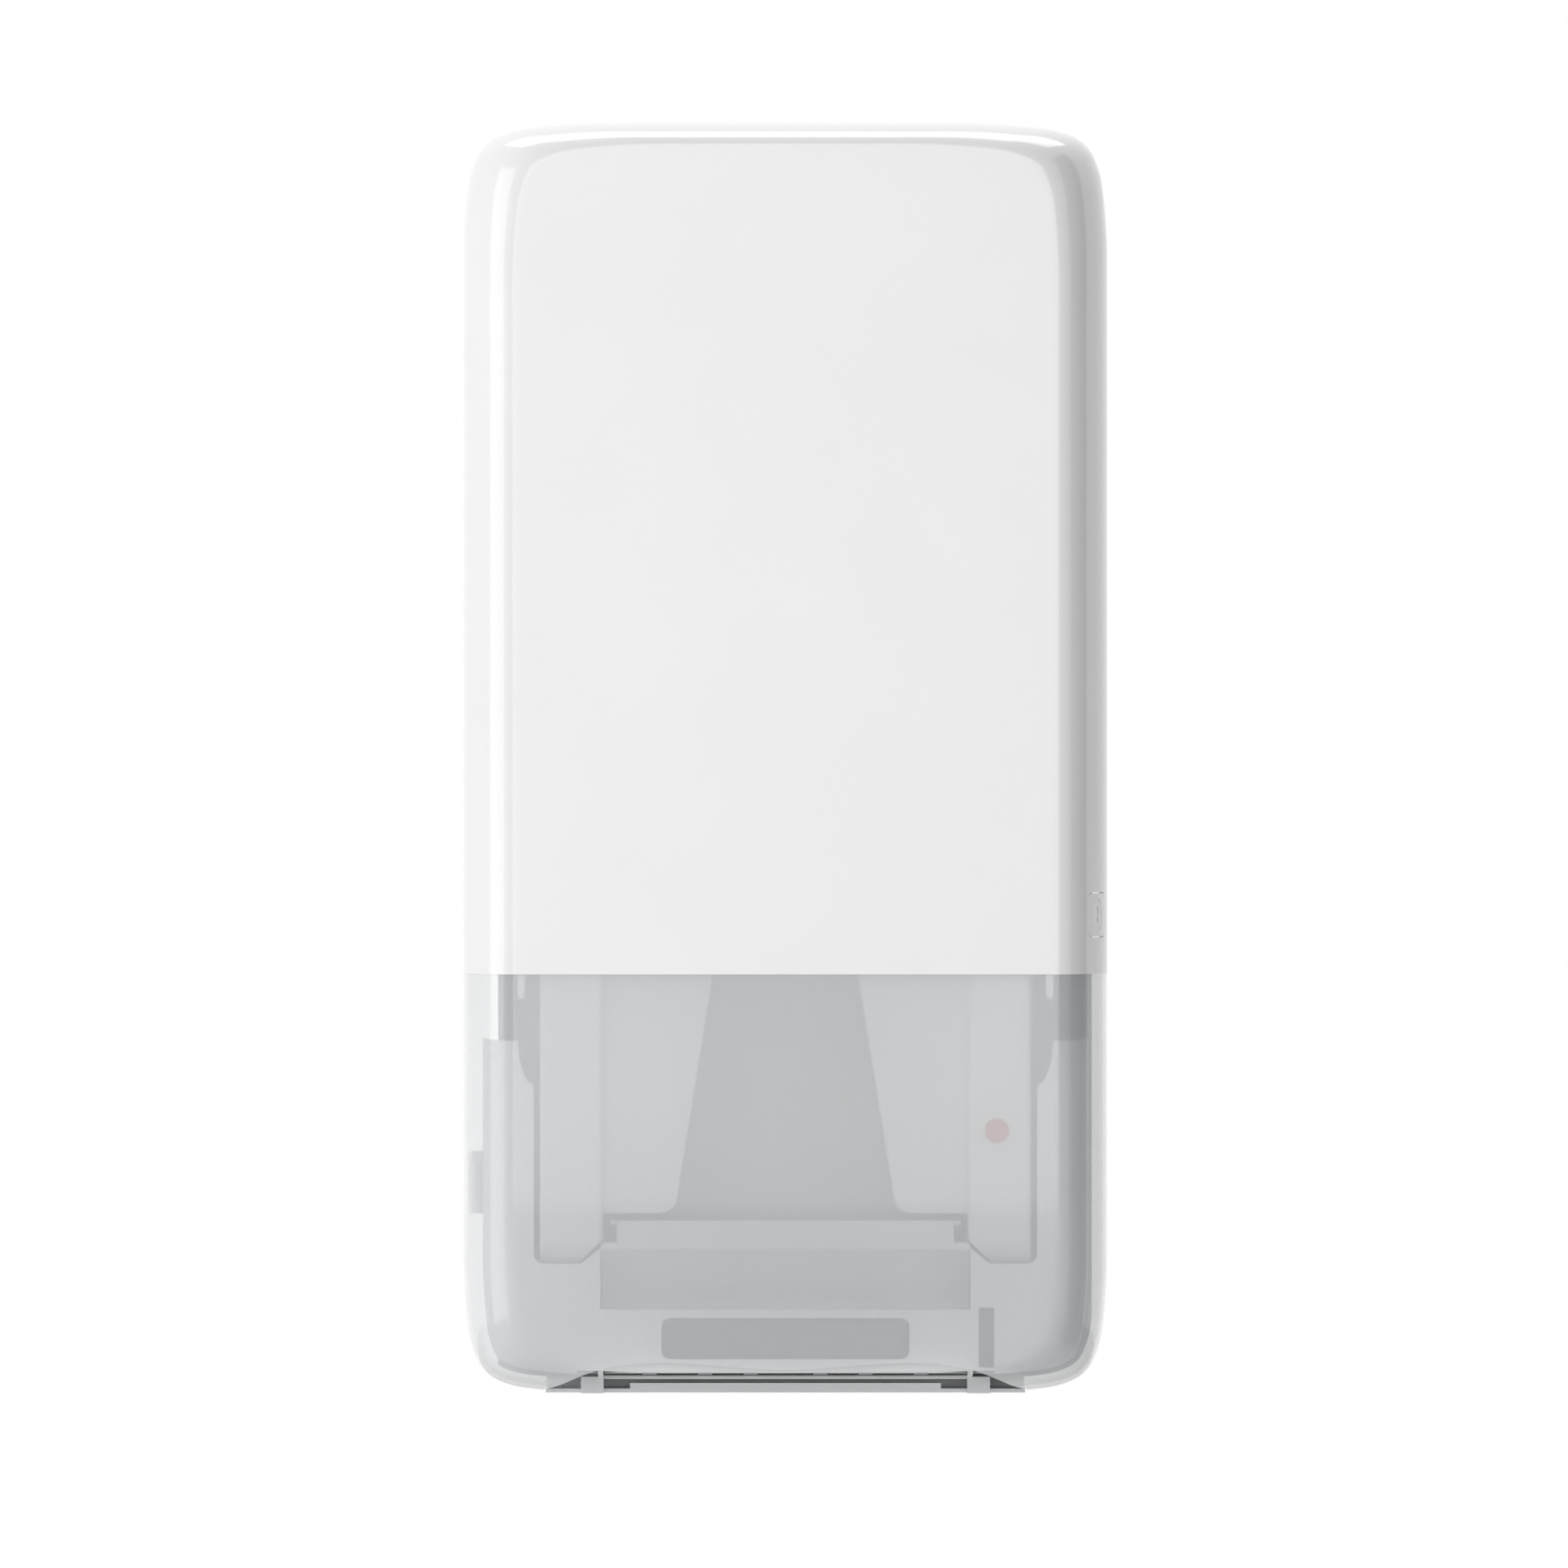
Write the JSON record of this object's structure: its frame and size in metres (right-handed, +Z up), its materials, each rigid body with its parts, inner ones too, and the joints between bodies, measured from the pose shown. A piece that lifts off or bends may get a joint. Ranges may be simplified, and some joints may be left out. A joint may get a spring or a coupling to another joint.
{
  "type": "continuous hand towel dispenser",
  "caption": "Slim wall-hung dispenser for a continuous folded hand towel, with a hinged lockable cover, clear lower window, retaining flaps and outlet rollers.",
  "frame": {"origin": "centre of the four wall screws, on the wall plane at the back of the case", "axes": "+X to the right seen from the front, +Y into the wall, +Z up"},
  "size_m": [0.37, 0.101, 0.73],
  "materials": {
    "cover_white": "gloss moulded ABS, white",
    "window_clear": "clear frosted-grey moulded plastic, gloss",
    "tray_grey": "satin moulded ABS, pale grey",
    "rail_white": "satin moulded ABS, white",
    "mask_white": "satin moulded ABS, white",
    "flap_white": "satin moulded polypropylene, off-white",
    "outlet_white": "satin moulded ABS, white",
    "grip_grey": "fine-grain moulded ABS, mid grey",
    "wheel_grey": "moulded elastomer, dark grey",
    "tyre_rubber": "moulded rubber, dark grey",
    "tyre_grey": "moulded rubber, mid grey",
    "steel": "bright drawn steel",
    "bush_nylon": "natural acetal",
    "button_red": "satin moulded ABS, red",
    "lock_metal": "die-cast zinc, plain"
  },
  "bodies": {
    "frame": {"back_plate": "tray_grey", "button_ring": "rail_white", "button_spring": "steel", "chute_floor": "rail_white", "front_mask": "mask_white", "funnel_guide": "mask_white", "grip_pan": "grip_grey", "hinge_bracket_lower": "rail_white", "hinge_bracket_upper": "rail_white", "hinge_pin_lower": "steel", "hinge_pin_upper": "steel", "latch_keeper": "rail_white", "left_flap_pin": "steel", "left_flap_spring": "steel", "left_side_rail": "rail_white", "mask_screws": "steel", "outlet_frame": "outlet_white", "outlet_guide_bar": "outlet_white", "rail_screws": "steel", "right_flap_pin": "steel", "right_flap_spring": "steel", "right_side_rail": "rail_white", "roller_bushes": "bush_nylon", "top_roller_axle": "steel", "top_roller_bushes": "bush_nylon"},
    "cover": {"cover_upper": "cover_white", "cover_window": "window_clear", "cover_hinge_lower": "cover_white", "cover_hinge_upper": "cover_white", "lock_plate": "cover_white", "lock_sleeve": "lock_metal"},
    "lock": {"lock_rotor": "cover_white", "lock_cam": "steel"},
    "left_flap_body": {"left_flap": "flap_white"},
    "right_flap_body": {"right_flap": "flap_white"},
    "button": {"release_button": "button_red"},
    "latch": {"grip_latch": "grip_grey"},
    "front_roller": {"front_roller_shaft": "steel", "front_roller_tyres": "tyre_rubber", "feed_wheel": "wheel_grey"},
    "rear_roller": {"rear_roller_shaft": "steel", "rear_roller_tyres": "tyre_grey"},
    "support_roller": {"top_roller": "bush_nylon"}
  },
  "joints": [
    {"name": "cover_swing", "type": "hinge", "parent": "frame", "child": "cover", "pos_m": [-0.177, -0.012, 0], "axis": [0, 0, -1], "range_deg": [0, 95]},
    {"name": "lock_turn", "type": "hinge", "parent": "cover", "child": "lock", "pos_m": [0.17887, -0.07467, -0.0894], "axis": [0.9397, -0.342, 0], "range_deg": [-90, 0]},
    {"name": "left_flap_swing", "type": "hinge", "parent": "frame", "child": "left_flap_body", "pos_m": [-0.1086, -0.083, 0], "axis": [0, 0, 1], "range_deg": [0, 75], "stiffness_Nm_per_rad": 0.02},
    {"name": "right_flap_swing", "type": "hinge", "parent": "frame", "child": "right_flap_body", "pos_m": [0.1086, -0.083, 0], "axis": [0, 0, -1], "range_deg": [0, 75], "stiffness_Nm_per_rad": 0.02},
    {"name": "button_press", "type": "slide", "parent": "frame", "child": "button", "axis": [0, 1, 0], "range_m": [0, 0.0025], "stiffness_N_per_m": 300, "deforming": ["button_spring"]},
    {"name": "latch_slide", "type": "slide", "parent": "frame", "child": "latch", "axis": [0, 0, -1], "range_m": [0, 0.003], "stiffness_N_per_m": 200},
    {"name": "front_roller_spin", "type": "hinge", "parent": "frame", "child": "front_roller", "pos_m": [0, -0.065, -0.33], "axis": [1, 0, 0], "continuous": true},
    {"name": "rear_roller_spin", "type": "hinge", "parent": "frame", "child": "rear_roller", "pos_m": [0, -0.044, -0.339], "axis": [1, 0, 0], "continuous": true},
    {"name": "support_roller_spin", "type": "hinge", "parent": "frame", "child": "support_roller", "pos_m": [0, -0.084, 0.327], "axis": [1, 0, 0], "continuous": true}
  ]
}
